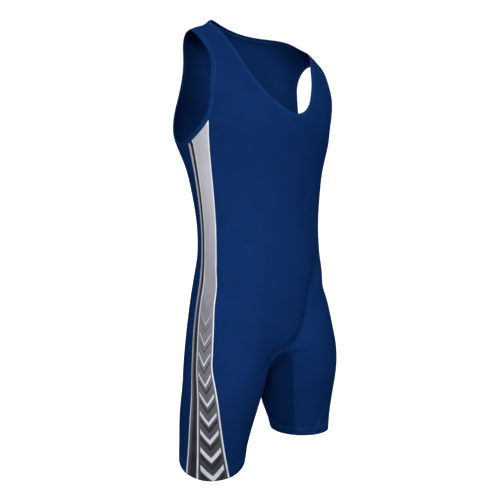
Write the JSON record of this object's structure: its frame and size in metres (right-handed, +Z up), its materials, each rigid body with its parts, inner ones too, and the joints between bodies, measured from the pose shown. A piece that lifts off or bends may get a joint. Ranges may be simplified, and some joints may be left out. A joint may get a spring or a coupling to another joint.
{
  "type": "weightlifting singlet, filled out as worn",
  "caption": "Sleeveless stretch suit with a scooped neck, open armholes, printed side panels and short legs, hollow as if worn.",
  "frame": {"origin": "midway between the two shoulder straps, at the height where they rest on the wearer's shoulders", "axes": "+Z up along the body, -Y the way the wearer faces, -X the wearer's right"},
  "size_m": [0.3816, 0.2643, 0.9514],
  "materials": {
    "blue_stretch_knit": "smooth nylon and elastane stretch knit, deep blue with a soft sheen",
    "blue_binding": "the same knit, folded over the edge and stitched",
    "printed_side": "stretch knit with a printed design that runs from silver to charcoal"
  },
  "bodies": {
    "root": {"front": "blue_stretch_knit", "back": "blue_stretch_knit", "crotch_panel": "blue_stretch_knit", "side_panel_right": "printed_side", "side_panel_left": "printed_side", "neck_binding": "blue_binding", "armhole_binding_right": "blue_binding", "armhole_binding_left": "blue_binding"}
  },
  "joints": []
}
